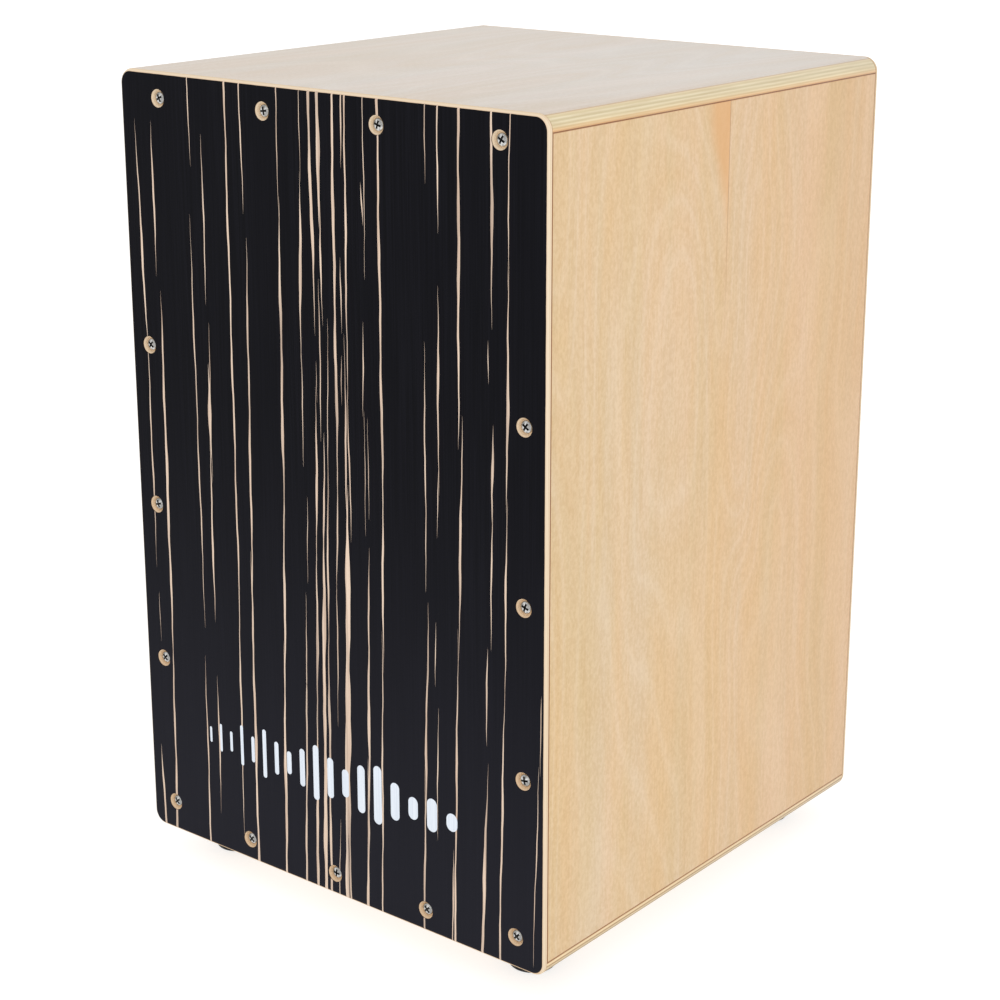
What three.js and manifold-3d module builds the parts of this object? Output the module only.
// A cajon: a plywood box drum that the player sits on and strikes on its thin front plate.
// Five boards of the box are glued. The front plate is screwed to a frame of battens, so that it can be
// taken off. Behind it a turning dowel carries three sets of snare wires, held by a wing screw.
//
// Millimetres, +Z up. The front plate faces -Y and the sound hole +Y. The origin is on the floor, under
// the middle of the box.
import * as THREE from "three";
import { mergeVertices } from "three/addons/utils/BufferGeometryUtils.js";
import Module from "manifold-3d";

const wasm = await Module();
wasm.setup();

// ---- Driving dimensions -------------------------------------------------------------------------

const WIDTH = 310;
const DEPTH = 318;
const BODY_HEIGHT = 470;
const FOOT_HEIGHT = 18;

const BOARD = 9; // thickness of the seat, bottom and side boards
const FRONT_PLATE = 3;
const BACK_PANEL = 3.5;
const CORNER = 8.5; // radius of the box's four long edges, seen from the front
const PLATE_EDGE = 2.5; // rounding of the outer edges of the front plate and back panel
const BATTEN = 20; // square section of the frame behind the front plate
const GLUE_BLOCK = 16; // legs of the triangular blocks in the long inner corners

const SOUND_HOLE_RADIUS = 57.5;
const SOUND_HOLE_RISE = 200; // centre above the bottom of the box

// Front plate screws: distances in from the edges of the plate, and places along them
const SCREW = { head: 3.5, headHeight: 1.4, shank: 1.75, length: 16, drive: 1.9 };
const COUNTERSINK = { mouth: 5.2, floor: 4.2, hole: 2.2, left: 0.5 }; // left is the material under the head
const TOP_ROW = { inset: 15, xs: [-124, -41.5, 41.5, 124] };
const SIDE_ROW = { inset: 15, rises: [310, 212, 113.5] };
const BOTTOM_ROW = { inset: 13.5, xs: [-70, 0, 70] };
const BOTTOM_CORNER = { inset: 20, rise: 19 };
const PILOT_CLEARANCE = 0.3; // between a screw's shank and the wall of its hole

// Feet
const FOOT = { bottom: 13.5, top: 14, edge: 1, recess: 6.5, recessHeight: 10, inset: 36.5 };
const FOOT_WASHER = { radius: 5.5, hole: 2.4, thickness: 1.25 };
const FOOT_SCREW = { head: 4.5, headHeight: 2.5, shank: 2, length: 16, drive: 2.3 };

// Snare bar: the dowel's axis runs along X, this far behind the front plate and above the box's bottom
const DOWEL = { radius: 8, length: 251, behindPlate: 13, rise: 285, flat: 7 };
const BRACKET = { thickness: 14, depth: 30, height: 44, gapToPlate: 2, bore: 8.4 };
const BRACKET_SCREW = { head: 3.5, headHeight: 2, shank: 1.75, length: 24, drive: 1.9 };
const BRACKET_SCREW_RISE = 15; // above and below the dowel's axis
const SNARE = {
  xs: [-78, 0, 78],
  plateWidth: 46,
  baseBottom: -6,
  baseTop: 9,
  baseThickness: 1,
  tipBottom: 140,
  tipTop: 148,
  tipThickness: 0.8,
  wires: 10,
  pitch: 4.25,
  wireRadius: 1.1,
  wireStart: 4,
  gapToPlate: 0.3,
  screwSpread: 18,
};
const SNARE_SCREW = { head: 2.7, headHeight: 1.5, shank: 1.4, length: 10, drive: 1.4 };

// Wing screw that clamps the dowel, in a threaded insert in the right-hand bracket
const INSERT = { outer: 3.6, inner: 2.7, length: 8 };
const WING = { shank: 2.4, hub: 5, hubLength: 8, standOff: 6, span: 14, thickness: 3 };
const WING_TIP_GAP = 0.3;

const TURN_90 = Math.PI / 2;

// ---- Planes worked out from the driving dimensions ----------------------------------------------

const frontY = -DEPTH / 2;
const plateBackY = frontY + FRONT_PLATE;
const panelFrontY = DEPTH / 2 - BACK_PANEL;
const boardDepth = panelFrontY - plateBackY;
const boardMiddleY = (panelFrontY + plateBackY) / 2;
const bottomZ = FOOT_HEIGHT;
const topZ = FOOT_HEIGHT + BODY_HEIGHT;
const middleZ = (bottomZ + topZ) / 2;
const innerX = WIDTH / 2 - BOARD;
const innerBottomZ = bottomZ + BOARD;
const innerTopZ = topZ - BOARD;
const battenBackY = plateBackY + BATTEN;
const battenMiddleY = plateBackY + BATTEN / 2;
const dowelY = plateBackY + DOWEL.behindPlate;
const dowelZ = bottomZ + DOWEL.rise;
const bracketOuterX = innerX - BATTEN;
const bracketInnerX = bracketOuterX - BRACKET.thickness;
const bracketFrontY = plateBackY + BRACKET.gapToPlate;
const bracketBackY = bracketFrontY + BRACKET.depth;
const wingX = (bracketInnerX + bracketOuterX) / 2;

// ---- Materials ----------------------------------------------------------------------------------

function material(color, roughness, metalness) {
  return new THREE.MeshStandardMaterial({ color, roughness, metalness });
}

const birch = material(0xe6c79d, 0.55, 0);
const seatBirch = material(0xe0d2c2, 0.5, 0);
const softwood = material(0xdcbd8d, 0.8, 0);
const blackVeneer = material(0x17161a, 0.5, 0);
const steel = material(0xc9c8c4, 0.3, 1);
const snareSteel = material(0xb9b9b6, 0.25, 1);
const brass = material(0xc29a4a, 0.35, 1);
const rubber = material(0x161616, 0.85, 0);

// ---- Solid modelling helpers --------------------------------------------------------------------

// A closed geometry as a manifold solid.
function solid(geometry) {
  const bare = new THREE.BufferGeometry();
  bare.setAttribute("position", geometry.getAttribute("position"));
  bare.setIndex(geometry.index);
  const merged = mergeVertices(bare, 1e-4);
  return new wasm.Manifold(
    new wasm.Mesh({
      numProp: 3,
      vertProperties: merged.attributes.position.array,
      triVerts: new Uint32Array(merged.index.array),
    }),
  );
}

// A manifold solid as a flat-shaded geometry.
function geometryOf(made) {
  const mesh = made.getMesh();
  const geometry = new THREE.BufferGeometry();
  geometry.setAttribute("position", new THREE.BufferAttribute(new Float32Array(mesh.vertProperties), 3));
  geometry.setIndex(new THREE.BufferAttribute(new Uint32Array(mesh.triVerts), 1));
  const flat = geometry.toNonIndexed();
  flat.computeVertexNormals();
  return flat;
}

function cut(geometry, tools) {
  return geometryOf(tools.reduce((left, tool) => left.subtract(solid(tool)), solid(geometry)));
}

function join(geometries) {
  return geometryOf(geometries.map(solid).reduce((whole, piece) => whole.add(piece)));
}

function box(x, y, z) {
  return new THREE.BoxGeometry(x, y, z);
}

// A body of revolution about +Z from [radius, height] pairs that run up its outside.
function turned(profile, segments) {
  const points = profile.map(([radius, height]) => new THREE.Vector2(radius, height));
  return new THREE.LatheGeometry(points, segments).rotateX(TURN_90);
}

// A drill from one point to another, which lie on a line along an axis.
function drill(from, to, radius, segments = 12) {
  const along = new THREE.Vector3().subVectors(to, from);
  const geometry = new THREE.CylinderGeometry(radius, radius, along.length(), segments);
  const turn = new THREE.Quaternion().setFromUnitVectors(new THREE.Vector3(0, 1, 0), along.normalize());
  const middle = new THREE.Vector3().addVectors(from, to).multiplyScalar(0.5);
  return geometry.applyQuaternion(turn).translate(middle.x, middle.y, middle.z);
}

function roundedRectangle(width, height, radius) {
  const x = width / 2 - radius;
  const y = height / 2 - radius;
  const shape = new THREE.Shape();
  shape.absarc(x, -y, radius, -TURN_90, 0);
  shape.absarc(x, y, radius, 0, TURN_90);
  shape.absarc(-x, y, radius, TURN_90, 2 * TURN_90);
  shape.absarc(-x, -y, radius, 2 * TURN_90, 3 * TURN_90);
  return shape;
}

const group = new THREE.Group();

// Adds one named piece and returns its mesh. Its geometry is around its own origin.
function place(name, geometry, look, x, y, z) {
  const mesh = new THREE.Mesh(geometry, look);
  mesh.name = name;
  mesh.position.set(x, y, z);
  group.add(mesh);
  return mesh;
}

// The same for a piece that is cut by tools given in the box's frame.
function placeDrilled(name, geometry, look, middle, tools) {
  const moved = tools.map((tool) => tool.translate(-middle.x, -middle.y, -middle.z));
  return place(name, cut(geometry, moved), look, middle.x, middle.y, middle.z);
}

// A pan-head screw along Z: its head stands on the plane z = 0, and its shank goes down.
function panScrew({ head, headHeight, shank, length, drive }) {
  const body = turned(
    [
      [0, -length],
      [shank, -length + 3],
      [shank, 0],
      [head, 0],
      [head, headHeight * 0.4],
      [head * 0.62, headHeight],
      [0, headHeight],
    ],
    12,
  );
  const slotWidth = drive / 2;
  const slots = [box(2 * drive, slotWidth, headHeight), box(slotWidth, 2 * drive, headHeight)];
  return cut(body, [join(slots).translate(0, 0, headHeight * 0.9)]);
}

// ---- The box ------------------------------------------------------------------------------------

// Where the front plate's screws go, as [name, x, z].
function frontScrewPlaces() {
  const top = TOP_ROW.xs.map((x, i) => [`front_screw_top_${i + 1}`, x, topZ - TOP_ROW.inset]);
  const sideX = WIDTH / 2 - SIDE_ROW.inset;
  const left = SIDE_ROW.rises.map((rise, i) => [`front_screw_left_${i + 1}`, -sideX, bottomZ + rise]);
  const right = SIDE_ROW.rises.map((rise, i) => [`front_screw_right_${i + 1}`, sideX, bottomZ + rise]);
  const cornerX = WIDTH / 2 - BOTTOM_CORNER.inset;
  const bottom = [
    [-cornerX, BOTTOM_CORNER.rise],
    ...BOTTOM_ROW.xs.map((x) => [x, BOTTOM_ROW.inset]),
    [cornerX, BOTTOM_CORNER.rise],
  ].map(([x, rise], i) => [`front_screw_bottom_${i + 1}`, x, bottomZ + rise]);
  return [...top, ...left, ...right, ...bottom];
}

// A board across the box with its two outer long edges rounded: y runs out from its inner face, z along it.
function acrossBoard() {
  const outer = BOARD - CORNER;
  const shape = new THREE.Shape();
  shape.moveTo(-WIDTH / 2, 0);
  shape.lineTo(WIDTH / 2, 0);
  shape.absarc(WIDTH / 2 - CORNER, outer, CORNER, 0, TURN_90);
  shape.absarc(CORNER - WIDTH / 2, outer, CORNER, TURN_90, 2 * TURN_90);
  return new THREE.ExtrudeGeometry(shape, { depth: boardDepth, bevelEnabled: false, curveSegments: 6 });
}

function footPlaces() {
  const x = WIDTH / 2 - FOOT.inset;
  const y = DEPTH / 2 - FOOT.inset;
  return [
    ["front_left", -x, -y],
    ["front_right", x, -y],
    ["rear_left", -x, y],
    ["rear_right", x, y],
  ];
}

const footSeatZ = FOOT.recessHeight - FOOT_WASHER.thickness;

function makeBoards() {
  const seat = place("seat_board", acrossBoard(), seatBirch, 0, panelFrontY, innerTopZ);
  seat.rotation.x = TURN_90;

  const screwDepth = FOOT_SCREW.length + 1 - (FOOT_HEIGHT - footSeatZ);
  const pilots = footPlaces().map(([, x, y]) =>
    drill(
      new THREE.Vector3(x, BOARD + 1, y - plateBackY),
      new THREE.Vector3(x, BOARD - screwDepth, y - plateBackY),
      FOOT_SCREW.shank + PILOT_CLEARANCE,
    ),
  );
  const bottom = place("bottom_board", cut(acrossBoard(), pilots), birch, 0, plateBackY, innerBottomZ);
  bottom.rotation.x = -TURN_90;

  const side = () => box(BOARD, boardDepth, innerTopZ - innerBottomZ);
  const sideX = WIDTH / 2 - BOARD / 2;
  place("left_side_panel", side(), birch, -sideX, boardMiddleY, middleZ);
  place("right_side_panel", side(), birch, sideX, boardMiddleY, middleZ);
}

// A sheet with rounded corners, from z = 0 up to its thickness. Its outer edge is rounded over at the top.
function roundedSheet(thickness) {
  const depth = 2 * thickness;
  const full = new THREE.ExtrudeGeometry(roundedRectangle(WIDTH, BODY_HEIGHT, CORNER), {
    depth,
    bevelThickness: PLATE_EDGE,
    bevelSize: PLATE_EDGE,
    bevelOffset: -PLATE_EDGE,
    bevelSegments: 3,
    curveSegments: 6,
  }).translate(0, 0, thickness - depth - PLATE_EDGE);
  const wasteDepth = 2 * depth;
  return cut(full, [box(2 * WIDTH, 2 * BODY_HEIGHT, wasteDepth).translate(0, 0, -wasteDepth / 2)]);
}

function makeFrontPlate() {
  const countersink = [
    [0, -1],
    [COUNTERSINK.hole, -1],
    [COUNTERSINK.hole, COUNTERSINK.left],
    [COUNTERSINK.floor, COUNTERSINK.left],
    [COUNTERSINK.mouth, FRONT_PLATE],
    [COUNTERSINK.mouth + 0.5, FRONT_PLATE + 1],
    [0, FRONT_PLATE + 1],
  ];
  const holes = frontScrewPlaces().map(([, x, z]) => turned(countersink, 12).translate(x, z - middleZ, 0));
  const drilled = cut(roundedSheet(FRONT_PLATE), holes);
  const plate = place("front_plate", drilled, blackVeneer, 0, plateBackY, middleZ);
  plate.rotation.x = TURN_90;

  for (const [name, x, z] of frontScrewPlaces()) {
    const screw = place(name, panScrew(SCREW), steel, x, plateBackY - COUNTERSINK.left, z);
    screw.rotation.x = TURN_90;
  }
}

function makeBackPanel() {
  const holeY = bottomZ + SOUND_HOLE_RISE - middleZ;
  const soundHole = new THREE.CylinderGeometry(SOUND_HOLE_RADIUS, SOUND_HOLE_RADIUS, 4 * BACK_PANEL, 48);
  const tool = soundHole.rotateX(TURN_90).translate(0, holeY, 0);
  const panel = place("back_panel", cut(roundedSheet(BACK_PANEL), [tool]), birch, 0, panelFrontY, middleZ);
  panel.rotation.set(TURN_90, 2 * TURN_90, 0);
}

function makeFrontFrame() {
  const pilots = frontScrewPlaces().map(([, x, z]) => ({
    x,
    z,
    from: new THREE.Vector3(x, plateBackY - 1, z),
    to: new THREE.Vector3(x, plateBackY + SCREW.length, z),
  }));
  const drills = (wanted) =>
    pilots.filter(wanted).map(({ from, to }) => drill(from, to, SCREW.shank + PILOT_CLEARANCE));
  const frameTopZ = innerTopZ - BATTEN;
  const frameBottomZ = innerBottomZ + BATTEN;

  const across = () => box(2 * innerX, BATTEN, BATTEN);
  const topMiddle = new THREE.Vector3(0, battenMiddleY, innerTopZ - BATTEN / 2);
  const bottomMiddle = new THREE.Vector3(0, battenMiddleY, innerBottomZ + BATTEN / 2);
  const highDrills = drills(({ z }) => z > frameTopZ);
  placeDrilled("front_batten_top", across(), softwood, topMiddle, highDrills);
  const lowDrills = drills(({ z }) => z < frameBottomZ);
  placeDrilled("front_batten_bottom", across(), softwood, bottomMiddle, lowDrills);

  for (const [side, sign] of [["left", -1], ["right", 1]]) {
    const middle = new THREE.Vector3(sign * (innerX - BATTEN / 2), battenMiddleY, middleZ);
    const wanted = ({ x, z }) => sign * x > 0 && z > frameBottomZ && z < frameTopZ;
    const bracketPilots = bracketScrewPlaces(sign).map(({ x, y, z }) =>
      drill(
        new THREE.Vector3(sign * (bracketOuterX - 1), y, z),
        new THREE.Vector3(x + sign * (BRACKET_SCREW.length + 1), y, z),
        BRACKET_SCREW.shank + PILOT_CLEARANCE,
      ),
    );
    const upright = box(BATTEN, BATTEN, frameTopZ - frameBottomZ);
    placeDrilled(`front_batten_${side}`, upright, softwood, middle, [...drills(wanted), ...bracketPilots]);
  }
}

// Triangular glue blocks along the four long inner corners, from the front frame to the back panel.
function makeGlueBlocks() {
  for (const [height, up, z] of [["top", -1, innerTopZ], ["bottom", 1, innerBottomZ]]) {
    for (const [side, sign] of [["left", -1], ["right", 1]]) {
      const shape = new THREE.Shape([
        new THREE.Vector2(0, 0),
        new THREE.Vector2(-sign * GLUE_BLOCK, 0),
        new THREE.Vector2(0, up * GLUE_BLOCK),
      ]);
      const length = panelFrontY - battenBackY;
      const prism = new THREE.ExtrudeGeometry(shape, { depth: length, bevelEnabled: false });
      const block = place(`glue_block_${height}_${side}`, prism, softwood, sign * innerX, panelFrontY, z);
      block.rotation.x = TURN_90;
    }
  }
}

// Rubber feet, open underneath for a washer and a screw into the bottom board.
function makeFeet() {
  const hole = FOOT_SCREW.shank + PILOT_CLEARANCE;
  const profile = [
    [FOOT.recess, 0],
    [FOOT.bottom - FOOT.edge, 0],
    [FOOT.bottom, FOOT.edge],
    [FOOT.top, FOOT_HEIGHT],
    [hole, FOOT_HEIGHT],
    [hole, FOOT.recessHeight],
    [FOOT.recess, FOOT.recessHeight],
    [FOOT.recess, 0],
  ];
  const washer = [
    [FOOT_WASHER.hole, 0],
    [FOOT_WASHER.radius, 0],
    [FOOT_WASHER.radius, FOOT_WASHER.thickness],
    [FOOT_WASHER.hole, FOOT_WASHER.thickness],
    [FOOT_WASHER.hole, 0],
  ];
  for (const [corner, x, y] of footPlaces()) {
    place(`foot_${corner}`, turned(profile, 24), rubber, x, y, 0);
    place(`foot_washer_${corner}`, turned(washer, 16), steel, x, y, footSeatZ);
    const screw = place(`foot_screw_${corner}`, panScrew(FOOT_SCREW), steel, x, y, footSeatZ);
    screw.rotation.x = 2 * TURN_90;
  }
}

// ---- The snare bar ------------------------------------------------------------------------------

// Where a bracket's two screws stand on its inner face.
function bracketScrewPlaces(sign) {
  return [1, -1].map((up) => ({
    x: sign * bracketInnerX,
    y: dowelY - 2,
    z: dowelZ + up * BRACKET_SCREW_RISE,
  }));
}

// Wooden blocks on the side battens that the dowel turns in.
function makeBrackets() {
  for (const [side, sign] of [["left", -1], ["right", 1]]) {
    const middle = new THREE.Vector3(sign * wingX, (bracketFrontY + bracketBackY) / 2, dowelZ);
    const bore = drill(
      new THREE.Vector3(sign * (bracketInnerX - 1), dowelY, dowelZ),
      new THREE.Vector3(sign * (bracketOuterX + 1), dowelY, dowelZ),
      BRACKET.bore,
      24,
    );
    const screwHoles = bracketScrewPlaces(sign).map(({ x, y, z }) =>
      drill(
        new THREE.Vector3(x - sign, y, z),
        new THREE.Vector3(sign * (bracketOuterX + 1), y, z),
        BRACKET_SCREW.shank + PILOT_CLEARANCE,
      ),
    );
    const block = box(BRACKET.thickness, BRACKET.depth, BRACKET.height);
    const tools = [bore, ...screwHoles, ...(sign > 0 ? wingScrewBore() : [])];
    placeDrilled(`snare_bracket_${side}`, block, softwood, middle, tools);
    bracketScrewPlaces(sign).forEach(({ x, y, z }, i) => {
      const screw = place(`snare_bracket_screw_${side}_${i + 1}`, panScrew(BRACKET_SCREW), steel, x, y, z);
      screw.rotation.y = -sign * TURN_90;
    });
  }
}

// The stepped hole behind the dowel for the threaded insert and the wing screw.
function wingScrewBore() {
  const at = (y) => new THREE.Vector3(wingX, y, dowelZ);
  return [
    drill(at(dowelY), at(bracketBackY + 1), INSERT.inner + 0.1),
    drill(at(bracketBackY - INSERT.length), at(bracketBackY + 1), INSERT.outer + PILOT_CLEARANCE),
  ];
}

function makeWingScrew() {
  const insertProfile = [
    [INSERT.inner, 0],
    [INSERT.outer, 0],
    [INSERT.outer, INSERT.length],
    [INSERT.inner, INSERT.length],
    [INSERT.inner, 0],
  ];
  const insert = place("wing_screw_insert", turned(insertProfile, 16), brass, wingX, bracketBackY, dowelZ);
  insert.rotation.x = TURN_90;

  const tipY = dowelY + DOWEL.radius + WING_TIP_GAP;
  const hubStart = bracketBackY + WING.standOff - tipY;
  const hubEnd = hubStart + WING.hubLength;
  const stem = turned(
    [
      [0, 0],
      [WING.shank, 0.5],
      [WING.shank, hubStart],
      [WING.hub, hubStart],
      [WING.hub * 0.8, hubEnd],
      [0, hubEnd],
    ],
    16,
  );
  const ear = new THREE.Shape();
  ear.moveTo(0, hubStart + 1);
  ear.lineTo(WING.span - 4, hubStart + 3);
  ear.absarc(WING.span - 5, hubEnd + 1, 5, -TURN_90 / 2, 2 * TURN_90);
  ear.lineTo(0, hubEnd - 1);
  const flat = { depth: WING.thickness, bevelEnabled: false, curveSegments: 5 };
  const wing = new THREE.ExtrudeGeometry(ear, flat).translate(0, 0, -WING.thickness / 2).rotateX(TURN_90);
  const otherWing = wing.clone().rotateZ(2 * TURN_90);
  const screw = place("wing_screw", join([stem, wing, otherWing]), steel, wingX, tipY, dowelZ);
  screw.rotation.x = -TURN_90;
}

// A round dowel with a flat under each snare's base plate and pilot holes for their screws.
function makeDowel() {
  const middle = new THREE.Vector3(0, dowelY, dowelZ);
  const half = new THREE.Vector3(DOWEL.length / 2, 0, 0);
  const round = drill(half.clone().negate(), half, DOWEL.radius, 24);
  const flats = SNARE.xs.map((x) =>
    box(SNARE.plateWidth + 2, DOWEL.radius, 2 * DOWEL.radius + 2).translate(
      x,
      dowelY - DOWEL.flat - DOWEL.radius / 2,
      dowelZ,
    ),
  );
  const pilots = snareScrewPlaces().map(([, x, y]) =>
    drill(
      new THREE.Vector3(x, y - 1, dowelZ),
      new THREE.Vector3(x, y + SNARE_SCREW.length + 0.5, dowelZ),
      SNARE_SCREW.shank + PILOT_CLEARANCE,
      8,
    ),
  );
  placeDrilled("snare_dowel", round, softwood, middle, [...flats, ...pilots]);
}

function snareScrewPlaces() {
  const y = dowelY - DOWEL.flat - SNARE.baseThickness;
  const sides = ["left", "centre", "right"];
  return SNARE.xs.flatMap((x, i) =>
    [-1, 1].map((sign, j) => [`snare_screw_${sides[i]}_${j + 1}`, x + sign * SNARE.screwSpread, y]),
  );
}

// One set of snare wires: coiled wires soldered to a base plate on the dowel and to a tip plate, which
// leans on the front plate. Each coil is a plain rod here.
function snareSet() {
  const plateFace = -DOWEL.flat - SNARE.baseThickness;
  const base = box(SNARE.plateWidth, SNARE.baseThickness, SNARE.baseTop - SNARE.baseBottom).translate(
    0,
    plateFace + SNARE.baseThickness / 2,
    (SNARE.baseTop + SNARE.baseBottom) / 2,
  );
  const sink = 0.2;
  const footCentre = plateFace - SNARE.wireRadius + sink;
  const tipCentre = SNARE.wireRadius + SNARE.gapToPlate - DOWEL.behindPlate;
  const tipFace = tipCentre + SNARE.wireRadius - sink;
  const tip = box(SNARE.plateWidth, SNARE.tipThickness, SNARE.tipTop - SNARE.tipBottom).translate(
    0,
    tipFace + SNARE.tipThickness / 2,
    (SNARE.tipTop + SNARE.tipBottom) / 2,
  );
  const wires = Array.from({ length: SNARE.wires }, (_, i) => {
    const x = (i - (SNARE.wires - 1) / 2) * SNARE.pitch;
    const from = new THREE.Vector3(x, footCentre, SNARE.wireStart);
    const to = new THREE.Vector3(x, tipCentre, SNARE.tipTop);
    return drill(from, to, SNARE.wireRadius, 6);
  });
  const plate = join([base, tip, ...wires]);
  const holes = [-1, 1].map((sign) =>
    drill(
      new THREE.Vector3(sign * SNARE.screwSpread, plateFace - 1, 0),
      new THREE.Vector3(sign * SNARE.screwSpread, -DOWEL.flat + 1, 0),
      SNARE_SCREW.shank + PILOT_CLEARANCE,
      8,
    ),
  );
  return cut(plate, holes);
}

function makeSnares() {
  const sides = ["left", "centre", "right"];
  SNARE.xs.forEach((x, i) => place(`snare_wires_${sides[i]}`, snareSet(), snareSteel, x, dowelY, dowelZ));
  for (const [name, x, y] of snareScrewPlaces()) {
    const screw = place(name, panScrew(SNARE_SCREW), steel, x, y, dowelZ);
    screw.rotation.x = TURN_90;
  }
}

makeBoards();
makeFrontPlate();
makeBackPanel();
makeFrontFrame();
makeGlueBlocks();
makeFeet();
makeBrackets();
makeWingScrew();
makeDowel();
makeSnares();

export default group;
